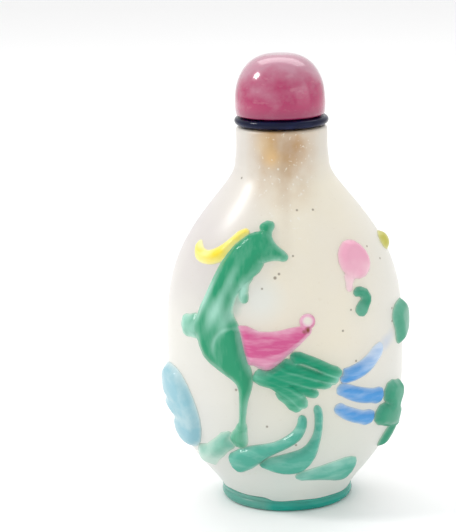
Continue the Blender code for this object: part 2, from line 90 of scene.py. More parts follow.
# Soft spots in the glass: warm stains under the collar, green run from the bird's neck, and blue run
# from the upper plume, as (degrees from the front, height, radius, soft edge, strength, colour), in mm.
NECK_SPOTS = ((-14, 57.6, 0.5, 1.5, 0.6, (244, 206, 146)), (12, 59.2, 0.6, 1.8, 0.45, (178, 134, 86)),
              (0, 56.2, 0.5, 1.8, 0.35, (200, 168, 126)), (-24, 59.6, 0.6, 1.6, 0.4, (236, 204, 148)))
BIRD_SPOTS = ((-23.4, 39.0, 0.7, 0.7, 0.8, (104, 176, 144)), (-22.4, 38.1, 0.6, 0.7, 0.75, (116, 182, 152)),
              (-21.8, 37.0, 0.3, 0.8, 0.65, (136, 192, 166)), (-24.4, 36.6, 0.6, 1.1, 0.7, (136, 192, 168)),
              (-26, 34.8, 0.3, 1.2, 0.5, (168, 206, 188)))
PLUME_SPOTS = ((55, 27.6, 0.4, 1.2, 0.45, (188, 206, 236)), (60, 28.3, 0.3, 1.3, 0.35, (200, 214, 238)))

# Dark specks in the glass, as (degrees, height, radius) in the same way.
SPECKS = ((-54.2, 54.2, 0.11), (9.6, 49.9, 0.09), (22.7, 49.8, 0.1), (-5.9, 39.9, 0.17), (-3.9, 40.5, 0.12),
          (-12.3, 38.2, 0.08), (3.8, 43.2, 0.08), (62.7, 41, 0.09), (54.6, 43.3, 0.08), (26.2, 22.6, 0.13),
          (27.1, 30.9, 0.1), (32.2, 34.1, 0.08), (63.3, 32.8, 0.1), (62.3, 30.7, 0.08), (34.2, 25.7, 0.1),
          (-56.1, 20.4, 0.15), (-25.3, 21.7, 0.12), (-10.7, 15.8, 0.1), (3.5, 12.6, 0.09))


def share(value, start, end):
    """How far the value has come from the start to the end, held between 0 and 1."""
    return np.clip((value - start) / (end - start), 0.0, 1.0)


def bulge(part, curve):
    """Falls from 1 to 0 as the part goes from 0 to 1, as round as the curve's two powers make it."""
    inner, outer = curve
    return (1 - part**inner) ** outer


def glass_half_width(height):
    rise = share(height, BELLY_HEIGHT, NECK_START)
    fall = share(height, BELLY_HEIGHT, BODY_LOW.z)
    shoulder = NECK_HALF + (BELLY_HALF - NECK_HALF) * bulge(rise, SHOULDER_CURVE)
    flank = BASE_HALF + (BELLY_HALF - BASE_HALF) * bulge(fall, FLANK_CURVE)
    flare = NECK_FLARE * np.exp(-(((height - NECK_START) / FLARE_REACH) ** 2))
    return np.where(height > BELLY_HEIGHT, shoulder + flare, flank)


def glass_half_depth(height):
    """The bottle is round at its neck, nearly round at its base, and flattest at the belly."""
    half = glass_half_width(height)
    upper = height > BELLY_HEIGHT
    end_flatness = np.where(upper, 1.0, BASE_DEEP / BASE_HALF)
    far = share(half, np.where(upper, NECK_HALF, BASE_HALF), BELLY_HALF)
    return half * (end_flatness * (1 - far) + BELLY_DEEP / BELLY_HALF * far)


def hollow_half_width(height):
    belly = BELLY_HALF - WALL
    rise = share(height, BELLY_HEIGHT, NECK_START)
    fall = share(height, BELLY_HEIGHT, BODY_LOW.z + FLOOR)
    shoulder = BORE_HALF + (belly - BORE_HALF) * bulge(rise, SHOULDER_CURVE)
    return np.where(height > BELLY_HEIGHT, shoulder, belly * bulge(fall, HOLLOW_CURVE))


def hollow_half_depth(height):
    half = hollow_half_width(height)
    belly = BELLY_HALF - WALL
    return half * (1 - (1 - (BELLY_DEEP - WALL) / belly) * share(half, BORE_HALF, belly))


def quarter(centre_radius, centre_height, radius, start, end, steps):
    """Points of a rounded edge, by degrees from straight out."""
    turns = np.radians(np.linspace(start, end, steps))
    return [(centre_radius + radius * math.cos(t), centre_height + radius * math.sin(t)) for t in turns]


def spun(profile, steps=SPIN_STEPS):
    """A round piece from its profile of (radius, height) points, spun about the upright axis."""
    cage = bmesh.new()
    line = [cage.verts.new((radius, 0.0, height)) for radius, height in profile]
    edges = [cage.edges.new(pair) for pair in zip(line, line[1:])]
    bmesh.ops.spin(cage, geom=[*line, *edges], cent=(0, 0, 0), axis=(0, 0, 1), angle=math.tau,
                   steps=steps, use_merge=True)
    bmesh.ops.remove_doubles(cage, verts=cage.verts, dist=SAME_PLACE)
    bmesh.ops.recalc_face_normals(cage, faces=cage.faces)
    return cage


def finished(name, cage, material, nodes=()):
    """Makes the piece from its cage, gives it its finish and hides the solids that it stands in for."""
    mesh = bpy.data.meshes.new(name)
    cage.to_mesh(mesh)
    cage.free()
    mesh.shade_smooth()
    mesh.materials.append(material)
    piece = bpy.data.objects.new(name, mesh)
    bpy.context.scene.collection.objects.link(piece)
    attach(piece, "root")
    if nodes:
        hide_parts(*nodes)
    return piece


lip_low = BODY_HIGH.z - LIP_ROUNDING
base_height = BODY_LOW.z - BASE_SUNK
floor_height = BODY_LOW.z + FLOOR
flank_heights = np.linspace(BODY_LOW.z, BELLY_HEIGHT, 34)
shoulder_heights = np.linspace(BELLY_HEIGHT, NECK_START, 60)[1:]
neck_heights = np.linspace(NECK_START, lip_low, 16)[1:-1]
outside = [(0.0, base_height), (BASE_HALF, base_height)]
outside += [(float(glass_half_width(z)), z) for z in (*flank_heights, *shoulder_heights, *neck_heights)]
outside += quarter(NECK_HALF - LIP_ROUNDING, lip_low, LIP_ROUNDING, 0, 90, 7)

bore_heights = np.linspace(NECK_START, BELLY_HEIGHT, 40)
closing = np.sin(np.linspace(0, math.pi / 2, 24))[1:-1]
closing_heights = BELLY_HEIGHT + (floor_height - BELLY_HEIGHT) * closing
inside = quarter(BORE_HALF + LIP_ROUNDING, lip_low, LIP_ROUNDING, 90, 180, 7)
inside += [(float(hollow_half_width(z)), z) for z in (*bore_heights, *closing_heights)]
inside.append((0.0, floor_height))

# The spun bottle is round, so its outer and its inner wall are each flattened by their own share.
shell = spun(outside + inside)
for vert in shell.verts:
    height = vert.co.z
    radius = math.hypot(vert.co.x, vert.co.y)
    hollow = float(hollow_half_width(height))
    if radius < (float(glass_half_width(height)) + hollow) / 2 and height > floor_height - HAIR:
        vert.co.y *= float(hollow_half_depth(height)) / max(hollow, HAIR)
    else:
        vert.co.y *= float(glass_half_depth(height) / glass_half_width(height))


def glass_at(turn, height):
    """Points of the glass, by how far round from the front they are, in radians, and how high."""
    return np.stack([glass_half_width(height) * np.sin(turn), -glass_half_depth(height) * np.cos(turn),
                     height], axis=-1)


def glass_normal(turn, height):
    step = 0.002
    rise = 0.02 * MM
    round_way = glass_at(turn + step, height) - glass_at(turn - step, height)
    up_way = glass_at(turn, height + rise) - glass_at(turn, height - rise)
    across = np.cross(round_way, up_way)
    return across / np.linalg.norm(across, axis=-1, keepdims=True)


def spot_on_glass(degrees, height, off=0.0):
    """One point of the glass by degrees and millimetres, or so far off it."""
    place = np.array([math.radians(degrees)]), np.array([height * MM])
    return (glass_at(*place) + glass_normal(*place) * off)[0]


def paint(red, green, blue):
    """A colour as it is seen, 0 to 255, turned into the shader's own scale."""
    seen = [value / 255 for value in (red, green, blue)]
    return (*[v / 12.92 if v <= 0.04045 else ((v + 0.055) / 1.055) ** 2.4 for v in seen], 1.0)


def new_material(name, roughness, coat=0.0, coat_roughness=0.06, gloss=0.5):
    material = bpy.data.materials.new(name)
    material.use_nodes = True
    shader = material.node_tree.nodes["Principled BSDF"]
    shader.inputs["Roughness"].default_value = roughness
    shader.inputs["Coat Weight"].default_value = coat
    shader.inputs["Coat Roughness"].default_value = coat_roughness
    shader.inputs["Specular IOR Level"].default_value = gloss
    return material, material.node_tree, shader


def noise(tree, scale, stretch=(1, 1, 1), turn=(0, 0, 0), detail=3.0):
    """Cloudy noise on the piece's own place, stretched and turned."""
    place = tree.nodes.new("ShaderNodeTexCoord")
    mapping = tree.nodes.new("ShaderNodeMapping")
    mapping.inputs["Scale"].default_value = stretch
    mapping.inputs["Rotation"].default_value = [math.radians(angle) for angle in turn]
    texture = tree.nodes.new("ShaderNodeTexNoise")
    texture.inputs["Scale"].default_value = scale
    texture.inputs["Detail"].default_value = detail
    tree.links.new(place.outputs["Object"], mapping.inputs["Vector"])
    tree.links.new(mapping.outputs["Vector"], texture.inputs["Vector"])
    return texture.outputs["Fac"]


def levels(tree, value, low, high, start=0.0, end=1.0):
    """The value's range from low to high, stretched to run from start to end."""
    node = tree.nodes.new("ShaderNodeMapRange")
    node.inputs["From Min"].default_value = low
    node.inputs["From Max"].default_value = high
    node.inputs["To Min"].default_value = start
    node.inputs["To Max"].default_value = end
    tree.links.new(value, node.inputs["Value"])
    return node.outputs["Result"]


def mixed(tree, part, first, second):
    """One colour turning into another. Each is a socket or a colour as it is seen."""
    node = tree.nodes.new("ShaderNodeMixRGB")
    tree.links.new(part, node.inputs["Fac"])
    for socket, colour in ((node.inputs["Color1"], first), (node.inputs["Color2"], second)):
        if isinstance(colour, tuple):
            socket.default_value = paint(*colour)
        else:
            tree.links.new(colour, socket)
    return node.outputs["Color"]


def joined(tree, operation, first, second=None, clamp=False):
    """Two values put together. Each is a socket or a plain number."""
    node = tree.nodes.new("ShaderNodeMath")
    node.operation = operation
    node.use_clamp = clamp
    for socket, value in zip(node.inputs, (first, second)):
        if isinstance(value, (int, float)):
            socket.default_value = value
        elif value is not None:
            tree.links.new(value, socket)
    return node.outputs["Value"]


def bumped(tree, shader, value, height):
    node = tree.nodes.new("ShaderNodeBump")
    node.inputs["Strength"].default_value = 0.6
    node.inputs["Distance"].default_value = height
    tree.links.new(value, node.inputs["Height"])
    tree.links.new(node.outputs["Normal"], shader.inputs["Normal"])


def along(tree, axis):
    """The piece's own place along one axis, in metres."""
    place = tree.nodes.new("ShaderNodeTexCoord")
    parts = tree.nodes.new("ShaderNodeSeparateXYZ")
    tree.links.new(place.outputs["Object"], parts.inputs["Vector"])
    return parts.outputs[axis]


def near(tree, centre, radius, soft, strength=1.0):
    """The strength within the radius of a point of the piece, fading to 0 over the soft edge."""
    place = tree.nodes.new("ShaderNodeTexCoord")
    gap = tree.nodes.new("ShaderNodeVectorMath")
    gap.operation = "DISTANCE"
    gap.inputs[1].default_value = centre
    tree.links.new(place.outputs["Object"], gap.inputs[0])
    return levels(tree, gap.outputs["Value"], radius, radius + soft, strength, 0.0)


milky, tree, shader = new_material("milky_glass", 0.45, coat=0.8, coat_roughness=0.3, gloss=0.3)
shader.inputs["Transmission Weight"].default_value = 0.26
shader.inputs["IOR"].default_value = 1.45
across, upward = along(tree, "X"), along(tree, "Z")
off_middle = joined(tree, "ABSOLUTE", across)

# Warm cream in the middle. The rest is painted light: painted shade, cooler, low down, a painted silvery
# sheen at both sides, and painted rosy shade round the highlight at the left shoulder.
low_down = levels(tree, upward, 28 * MM, 6 * MM)
colour = mixed(tree, low_down, CREAM, SHADED_COOL_CREAM)
left_side = levels(tree, across, -1 * MM, -13 * MM, 0.0, 0.75)
colour = mixed(tree, left_side, colour, SHEEN_SILVER)
lit_right_side = levels(tree, across, 9 * MM, 17 * MM, 0.0, 0.7)
colour = mixed(tree, lit_right_side, colour, SHEEN_SILVER)
high_up = levels(tree, upward, 30 * MM, 44 * MM)
colour = mixed(tree, joined(tree, "MULTIPLY", left_side, high_up), colour, SHADE_ROSY_GREY)
neck_part = levels(tree, upward, 53 * MM, 58 * MM, 0.0, 0.6)
colour = mixed(tree, neck_part, colour, NECK_GREY)
clouds = levels(tree, noise(tree, 120, detail=2.0), 0.35, 0.7, 0.0, 0.3)
colour = mixed(tree, clouds, colour, CLOUDY_CREAM)
fine = levels(tree, noise(tree, 1500, detail=4.0), 0.64, 0.76, 0.0, 0.16)
colour = mixed(tree, fine, colour, FINE_TAN)

# The stain of the cork and of the snuff in the neck, and below the neck a thin painted shadow of the spoon
# down the middle.
ragged = levels(tree, noise(tree, 380, stretch=(1, 1, 0.8), detail=4.0), 0.3, 0.6, 0.45, 1.0)
glow = joined(tree, "MULTIPLY", levels(tree, off_middle, 6 * MM, 2 * MM), ragged)
glow = joined(tree, "MULTIPLY", glow, levels(tree, upward, 49 * MM, 58 * MM))
colour = mixed(tree, glow, colour, STAIN)
for degrees, height, radius, soft, strength, tint in NECK_SPOTS + BIRD_SPOTS + PLUME_SPOTS:
    spot = near(tree, spot_on_glass(degrees, height), radius * MM, soft * MM, strength)
    colour = mixed(tree, spot, colour, tint)
# A painted shadow of the spoon: a thin brown line down the middle, below the neck.
spoon_shadow = joined(tree, "MULTIPLY", levels(tree, off_middle, 1.5 * MM, 0.3 * MM), ragged)
spoon_shadow = joined(tree, "MULTIPLY", spoon_shadow, levels(tree, upward, 39 * MM, 52 * MM, 0.0, 0.2))
colour = mixed(tree, spoon_shadow, colour, SPOON_SHADOW_BROWN)

# The fine bubbles in the neck, a mist in front of the bird's neck, and the specks.
bubbles = levels(tree, noise(tree, 1700, detail=1.0), 0.66, 0.72, 0.0, 0.6)
inner = levels(tree, off_middle, 6 * MM, 3 * MM)
inner = joined(tree, "MULTIPLY", inner, levels(tree, upward, 36 * MM, 50 * MM))
colour = mixed(tree, joined(tree, "MULTIPLY", bubbles, inner), colour, BUBBLE_WHITE)
mist = near(tree, spot_on_glass(-13, 36.5), 1.2 * MM, 3.4 * MM, 0.6)
colour = mixed(tree, mist, colour, MIST_WHITE)
for degrees, height, radius in SPECKS:
    speck = near(tree, spot_on_glass(degrees, height), radius * MM, SPECK_SOFT, 0.75)
    colour = mixed(tree, speck, colour, SPECK_BROWN)
tree.links.new(colour, shader.inputs["Base Color"])
bumped(tree, shader, noise(tree, 260, detail=2.0), 0.03 * MM)
finished("bottle_glass", shell, milky, ["bottle_body"])


# The foot: a low disc of green glass under the bottle, melted on and ground flat, with a hollow
# underside. Its rounded rim creeps a little way up the milky glass, further on the left.
FOOT_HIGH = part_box("foot")[1]
FOOT_RIM = 2.6 * MM
FOOT_RECESS = 0.7 * MM
CREEP_LEFT = 0.5 * MM
CREEP_STARTS = -3.3 * MM
CREEP_SOFT = 0.25 * MM
# The creeping edge, as (out from the bottle's base, up from the foot's top) in millimetres.
CREEP_EDGE = ((-1.0, 0.0), (-0.2, 0.04), (0.01, 0.22), (0.1, 0.03))
FOOT_GREEN = (0, 158, 140)
FOOT_DEEP = (0, 142, 128)
FOOT_PALE = (104, 158, 144)
FOOT_EDGE = (130, 186, 170)

foot_top = FOOT_HIGH.z
rim_round = foot_top / 2
rim_middle = FOOT_HIGH.x - rim_round
recess = rim_middle - FOOT_RIM
profile = [(0.0, foot_top)]
profile += [(BASE_HALF + out * MM, foot_top + up * MM) for out, up in CREEP_EDGE]
profile += quarter(rim_middle, rim_round, rim_round, 52, -90, 18)
profile += [(recess, 0.0), (recess - 0.4 * MM, 0.12 * MM), (recess * 0.8, FOOT_RECESS * 0.75)]
profile += [(recess * 0.4, FOOT_RECESS * 0.95), (0.0, FOOT_RECESS)]
foot = spun(profile)
for vert in foot.verts:
    turn = math.atan2(vert.co.x, -vert.co.y)
    if vert.co.z > foot_top + HAIR:
        left = 1 / (1 + math.exp((vert.co.x - CREEP_STARTS) / CREEP_SOFT))
        waves = 0.05 * math.sin(5 * turn) + 0.04 * math.sin(11 * turn)
        vert.co.z += CREEP_LEFT * left + waves * MM
        widen = float(glass_half_width(vert.co.z)) / BASE_HALF
        vert.co.x *= widen
        vert.co.y *= widen
    vert.co.y *= BASE_DEEP / BASE_HALF

foot_glass, tree, shader = new_material("foot_glass", 0.24, coat=0.2, gloss=0.25)
shader.inputs["Transmission Weight"].default_value = 0.1
streaks = levels(tree, noise(tree, 260, stretch=(1, 1, 3)), 0.35, 0.7)
colour = mixed(tree, streaks, FOOT_GREEN, FOOT_DEEP)
left_side = levels(tree, along(tree, "X"), -2.6 * MM, -4.2 * MM, 0.0, 0.6)
colour = mixed(tree, left_side, colour, FOOT_PALE)
upper_edge = levels(tree, along(tree, "Z"), 0.9 * MM, 2.1 * MM, 0.0, 0.3)
colour = mixed(tree, upper_edge, colour, FOOT_EDGE)
tree.links.new(colour, shader.inputs["Base Color"])
bumped(tree, shader, noise(tree, 500), 0.02 * MM)
finished("foot_ring", foot, foot_glass, ["foot"])


# The collar: a thin disc of near black glass between the lip and the stopper, its edge rounded
# and polished. The stopper is glued on it.
COLLAR_LOW, COLLAR_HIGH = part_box("collar")
COLLAR_SEAT = 0.3 * MM
SEAT_INSET = 2.4 * MM
FACE_INSET = 1.5 * MM
COLLAR_NAVY = (2, 8, 40)
COLLAR_BLUE = (14, 26, 66)

edge = (COLLAR_HIGH.z - COLLAR_LOW.z) / 2
middle = COLLAR_LOW.z + edge
seat_reach = COLLAR_HIGH.x - SEAT_INSET
face_reach = COLLAR_HIGH.x - FACE_INSET
profile = [(0.0, COLLAR_HIGH.z + COLLAR_SEAT), (seat_reach, COLLAR_HIGH.z + COLLAR_SEAT)]
profile += [(face_reach, COLLAR_HIGH.z + HAIR)]
profile += quarter(COLLAR_HIGH.x - edge, middle, edge, 78, -78, 17)
profile += [(face_reach, COLLAR_LOW.z - HAIR)]
profile += [(seat_reach, COLLAR_LOW.z - COLLAR_SEAT), (0.0, COLLAR_LOW.z - COLLAR_SEAT)]
collar_glass, tree, shader = new_material("dark_glass", 0.16, coat=0.34, coat_roughness=0.14, gloss=0.03)
mottle = levels(tree, noise(tree, 300, stretch=(1, 1, 3)), 0.4, 0.75)
tree.links.new(mixed(tree, mottle, COLLAR_NAVY, COLLAR_BLUE), shader.inputs["Base Color"])
bumped(tree, shader, noise(tree, 600), 0.015 * MM)
finished("collar_disc", spun(profile), collar_glass, ["collar"])


# The stopper: a domed knob of rose pink stone glass, cloudy and a little see-through, deeper in
# colour low down, cut and polished by hand. It has flaws and a small nick at its edge, and painted shade on
# its underside.
STOPPER_LOW, STOPPER_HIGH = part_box("stopper")
STOPPER_WIDEST = 2.2 * MM
STOPPER_FULLNESS = 0.72
STOPPER_UNDERCUT = 0.25 * MM
STOPPER_SEAT = 0.2 * MM
STOPPER_SEAT_INSET = 1.4 * MM
STOPPER_LEFT = 0.15 * MM
NICK_DEPTH = 0.28 * MM
NICK_REACH = 0.7 * MM
PALE_ROSE = (194, 134, 154)
DEEP_ROSE = (176, 14, 90)
FLAW_ROSE = (216, 156, 170)
SHADE_UNDER_ROSE = (146, 30, 82)

widest = STOPPER_HIGH.x
widest_at = STOPPER_LOW.z + STOPPER_WIDEST
rise = STOPPER_HIGH.z - widest_at
turns = np.linspace(math.pi / 2, 0, 34)
profile = [(0.0, STOPPER_HIGH.z)]
profile += [(widest * math.cos(t) ** STOPPER_FULLNESS, widest_at + rise * math.sin(t)) for t in turns[1:]]
for t in np.linspace(0, 1, 9)[1:]:
    inward = STOPPER_UNDERCUT * (1 - math.sqrt(1 - (0.98 * t) ** 2))
    profile.append((widest - inward, widest_at - STOPPER_WIDEST * t))
seat_height = STOPPER_LOW.z - STOPPER_SEAT
profile += [(widest - STOPPER_SEAT_INSET, seat_height), (0.0, seat_height)]
knob = spun(profile)
nick = Vector((widest + 0.1 * MM, -0.6 * MM, widest_at + 1.0 * MM))
for vert in knob.verts:
    outward = Vector((vert.co.x, vert.co.y, 0)).normalized()
    closeness = math.exp(-((vert.co - nick).length / NICK_REACH) ** 2)
    vert.co -= outward * NICK_DEPTH * closeness
    vert.co.x -= STOPPER_LEFT

rose, tree, shader = new_material("rose_glass", 0.2, coat=0.8, coat_roughness=0.09)
shader.inputs["Transmission Weight"].default_value = 0.22
shader.inputs["IOR"].default_value = 1.5
upward = along(tree, "Z")
cloudy = noise(tree, 260, stretch=(1, 1, 1.2), detail=7.0)
low_down = levels(tree, upward, STOPPER_HIGH.z - 1.0 * MM, STOPPER_LOW.z + 2.8 * MM, -1.0, 0.05)
depth = joined(tree, "ADD", joined(tree, "MULTIPLY", cloudy, 1.9), low_down)
depth = levels(tree, depth, 0.1, 0.95)
colour = mixed(tree, depth, PALE_ROSE, DEEP_ROSE)
flaws = levels(tree, noise(tree, 420, stretch=(1, 1, 2.5), turn=(0, 12, 0), detail=6.0), 0.6, 0.74, 0.0, 0.35)
colour = mixed(tree, flaws, colour, FLAW_ROSE)
# Painted shade darkens the underside, below the widest point.
under = levels(tree, upward, STOPPER_LOW.z + 1.8 * MM, STOPPER_LOW.z, 0.0, 0.8)
colour = mixed(tree, under, colour, SHADE_UNDER_ROSE)
tree.links.new(colour, shader.inputs["Base Color"])
bumped(tree, shader, noise(tree, 340), 0.02 * MM)
finished("stopper_knob", knob, rose, ["stopper"])


# The cork: a short tapered plug, cut from bark and glued under the collar. It holds the stopper
# in the bore, and shows through the neck as an amber glow.
CORK_LOW, CORK_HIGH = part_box("cork")
CORK_TAPER = 0.25 * MM
CORK_STEPS = 64
CORK_DARK = (120, 74, 30)
CORK_LIGHT = (206, 152, 84)

cork_height = CORK_HIGH.z - CORK_LOW.z
profile = [(0.0, CORK_HIGH.z + HAIR), (CORK_HIGH.x, CORK_HIGH.z + HAIR)]
profile += [(CORK_HIGH.x - CORK_TAPER * t, CORK_HIGH.z - cork_height * t)
            for t in np.linspace(0.02, 0.96, 16)]
profile += [(CORK_HIGH.x - 2 * CORK_TAPER, CORK_LOW.z - HAIR), (0.0, CORK_LOW.z - 0.35 * MM)]
cork = spun(profile, CORK_STEPS)
for vert in cork.verts:
    grain = math.sin(2300 * vert.co.x + 5) * math.sin(2900 * vert.co.y) * math.sin(2500 * vert.co.z)
    vert.co.x *= 1 - 0.012 * grain
    vert.co.y *= 1 - 0.012 * grain
bark, tree, shader = new_material("cork", 0.75)
pits = levels(tree, noise(tree, 900, detail=5.0), 0.35, 0.7)
tree.links.new(mixed(tree, pits, CORK_DARK, CORK_LIGHT), shader.inputs["Base Color"])
bumped(tree, shader, noise(tree, 1300, detail=5.0), HAIR)
finished("cork_plug", cork, bark, ["cork"])


# The spoon: a thin stem of bone with a small flat bowl, pushed into the cork, with which the
# snuff is lifted out. The solid's shape is right, so it stays and gets its finish.
BONE_DARK = (190, 156, 112)
BONE_LIGHT = (222, 196, 152)

bone, tree, shader = new_material("bone", 0.45)
fibres = levels(tree, noise(tree, 400, stretch=(6, 6, 1), detail=4.0), 0.35, 0.7)
tree.links.new(mixed(tree, fibres, BONE_DARK, BONE_LIGHT), shader.inputs["Base Color"])
bumped(tree, shader, noise(tree, 900, stretch=(4, 4, 1)), 0.02 * MM)
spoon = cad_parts["spoon"]
spoon.data.materials.clear()
spoon.data.materials.append(bone)


# The bird: a phoenix with its crest knob and open beak, neck, body, thigh and leg, in one pour of
# green glass. Like all the relief it was laid hot on the milky glass, then ground and polished
# into its figure, so it is deep in colour where it is thick and pales towards its round edges.
RELIEF_TOP = 1.25 * MM
LOW_RELIEF_TOP = 0.95 * MM
VOXEL = 0.15 * MM
SMOOTH_PASSES = 3
FLAW_OFF = 0.8 * MM
THIN_GLASS = (226, 226, 212)
# A wall of the solid starts below the first height, and what is below the second is the pad's
# underside, which is sunk into the milky glass.
WALL_FOOT = 0.5 * MM
UNDERSIDE = 0.45 * MM
SUNK = 0.1 * MM
# The pad's top falls off over this width to this share of its height, along a round crown.
EDGE_ROUND = 1.5 * MM
EDGE_SHARE = 0.16
CROWN_POWER = 0.75
# The colour pales towards the pad's edge, and turns milky where the pad is lowest.
PALE_REACH = 0.8 * MM
PALE_STRENGTH = 0.4
MILKY_HEIGHT = 0.3 * MM
MILKY_STRENGTH = 0.5

# How much wider than its solid a pad is at its edge, as (height, extra) in millimetres.
SPREAD = ((0, 0.15),)
# How far the pads are moved round from their solids, as (degrees, extra degrees).
DRIFT = ((-76, 0), (-58, -1.5), (-30, -1.7), (-14, -1.7), (0, -0.6), (8, 0))

BIRD_GREEN = (34, 142, 102)
BIRD_PALE = (158, 208, 190)
BIRD_SPREAD = ((12, 0.5), (15, 0.25), (17, 0.08), (20, 0.08), (25, 0.45), (43, 0.45), (46, 0))
# Where the bird is paler or lower, as (degrees, height, half width, half height, strength).
BIRD_PALE_SPOTS = ((-54, 31.2, 8, 2.4, 0.8), (-41, 37, 5, 3, 0.4), (-45, 29, 5, 3.5, 0.25),
                   (-31, 34, 4, 2, 0.25), (-24, 37.5, 4, 2.5, 0.3), (-35, 34.4, 7, 2.8, 0.5),
                   (-25, 40, 5, 2.5, 0.15), (-20, 37.5, 2, 2, 0.55), (-19, 19, 4, 2.5, 0.3),
                   (-22, 15.5, 4, 2, 0.12), (-24, 13.4, 5, 1.6, 0.22), (-11, 48.6, 4, 0.6, 0.3))
BIRD_DIPS = ((-26, 34.6, 7, 0.35, 0.08), (-22.2, 38.2, 0.8, 1.6, 0.15))
# The thigh's middle, as (degrees, height), and its half width in millimetres.
THIGH_MIDDLE = (-24, 28.5)
THIGH_HALF = 3.0


def place_on_glass(points):
    """For points near the glass: how far round, how high, and how far off it they stand."""
    foot_point = np.array(points, dtype=float)
    for _ in range(4):
        height = foot_point[:, 2]
        turn = np.arctan2(foot_point[:, 0] / glass_half_width(height),
                          -foot_point[:, 1] / glass_half_depth(height))
        normal = glass_normal(turn, height)
        off = ((points - glass_at(turn, height)) * normal).sum(axis=1)
        foot_point = points - off[:, None] * normal
    return turn, height, off


def sheet_spots(turn, height, spots):
    """Soft spots on the glass, each (degrees, height, half width, half height, strength)."""
    degrees = np.degrees(turn)
    total = np.zeros(len(turn))
    for middle_turn, middle_height, wide, high, strength in spots:
        away = ((degrees - middle_turn) / wide) ** 2 + ((height / MM - middle_height) / high) ** 2
        total += strength * np.exp(-away)
    return total


def pad_walls(solid):
    """The solid's faces that stand up from the glass at the pad's edge, for finding the nearest."""
    centres = np.array([face.calc_center_median() for face in solid.faces])
    facing = np.array([face.normal for face in solid.faces])
    turn, height, _ = place_on_glass(centres)
    stands_off = place_on_glass(np.array([vert.co for vert in solid.verts]))[2]
    solid.verts.index_update()
    lowest = np.array([min(stands_off[vert.index] for vert in face.verts) for face in solid.faces])
    upright = np.abs((facing * glass_normal(turn, height)).sum(axis=1)) < 0.5
    upright &= lowest < WALL_FOOT
    walls = bmesh.new()
    for face, stands in zip(solid.faces, upright):
        if stands:
            walls.faces.new([walls.verts.new(vert.co) for vert in face.verts])
    nearest = BVHTree.FromBMesh(walls)
    walls.free()
    return nearest


def finely_meshed(node, solid):
    """The solid again, in small even faces that can be moved and softened."""
    mesh = bpy.data.meshes.new(node)
    solid.to_mesh(mesh)
    holder = bpy.data.objects.new(node + "_rough", mesh)
    bpy.context.scene.collection.objects.link(holder)
    remesh = holder.modifiers.new("voxels", "REMESH")
    remesh.mode = "VOXEL"
    remesh.voxel_size = VOXEL
    graph = bpy.context.evaluated_depsgraph_get()
    rough = bpy.data.meshes.new_from_object(holder.evaluated_get(graph))
    bpy.data.objects.remove(holder, do_unlink=True)
    return rough


def rows_of(items, name):
    """What each of the mesh's items says under this name, as rows of three numbers."""
    numbers = np.empty(len(items) * 3)
    items.foreach_get(name, numbers)
    return numbers.reshape(-1, 3)


def ground_pad(node, material, pale=(), dips=(), edge=EDGE_ROUND, drawn=None, spread=SPREAD):
    """A pad of the relief, softened from its solid and fused to the bottle.

    The drawn function gives, for places by degrees and height, how much paler and how much lower.
    Where the paleness comes to more than 1, the milky glass shows.
    """
    solid = bmesh.new()
    solid.from_mesh(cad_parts[node].data)
    bmesh.ops.remove_doubles(solid, verts=solid.verts, dist=SAME_PLACE)
    walls = pad_walls(solid)
    rough = finely_meshed(node, solid)
    solid.free()

    # The pad is widened along the glass, by more the nearer a point is to its edge.
    points = rows_of(rough.vertices, "co")
    normals = rows_of(rough.vertex_normals, "vector")
    turn, height, off = place_on_glass(points)
    outward = glass_normal(turn, height)
    up = (normals * outward).sum(axis=1)
    sideways = normals - up[:, None] * outward
    from_edge = np.array([walls.find_nearest(Vector(point))[3] for point in points])
    closeness = 1 - share(from_edge, 0.0, edge)
    wider = np.interp(height / MM, *zip(*spread)) * MM
    turn, height, _ = place_on_glass(points + sideways * (wider * closeness)[:, None])

    # Its flat top becomes a crown with its dips, and it is laid on the glass a little further round.
    top = np.where(off > (RELIEF_TOP + LOW_RELIEF_TOP) / 2, RELIEF_TOP, LOW_RELIEF_TOP)
    off = np.where(up > 0.5, top, off)
    crown = (1 - closeness**2) ** CROWN_POWER
    lifted = -SUNK + (off + SUNK) * (EDGE_SHARE + (1 - EDGE_SHARE) * crown)
    paler, lower = drawn(np.degrees(turn), height / MM) if drawn else (0.0, 0.0)
    lifted -= (sheet_spots(turn, height, dips) + lower) * MM * (up > 0.3)
    lifted = np.where(off < UNDERSIDE, -SUNK, lifted)
    laid = turn + np.radians(np.interp(np.degrees(turn), *zip(*DRIFT)))
    points = glass_at(laid, height) + glass_normal(laid, height) * lifted[:, None]
    rough.vertices.foreach_set("co", points.ravel())

    pad = bmesh.new()
    pad.from_mesh(rough)
    bpy.data.meshes.remove(rough)
    for _ in range(SMOOTH_PASSES):
        bmesh.ops.smooth_vert(pad, verts=pad.verts, factor=0.5, use_axis_x=True, use_axis_y=True,
                              use_axis_z=True)
    piece = finished(node + "_pad", pad, material, [node])
    thin = 1 - share(from_edge, 0.0, PALE_REACH)
    paleness = PALE_STRENGTH * thin**2 + sheet_spots(turn, height, pale) + paler
    milky_edge = MILKY_STRENGTH * (1 - share(lifted, 0.0, MILKY_HEIGHT))
    rim = np.maximum(milky_edge, np.clip(paleness - 1, 0, 1))
    for name, values in (("pale", np.clip(paleness, 0, 1)), ("rim", rim)):
        piece.data.attributes.new(name, "FLOAT", "POINT")
        piece.data.attributes[name].data.foreach_set("value", values)


def painted(tree, name):
    """What the pad's mesh says under this name."""
    node = tree.nodes.new("ShaderNodeAttribute")
    node.attribute_name = name
    return node.outputs["Fac"]


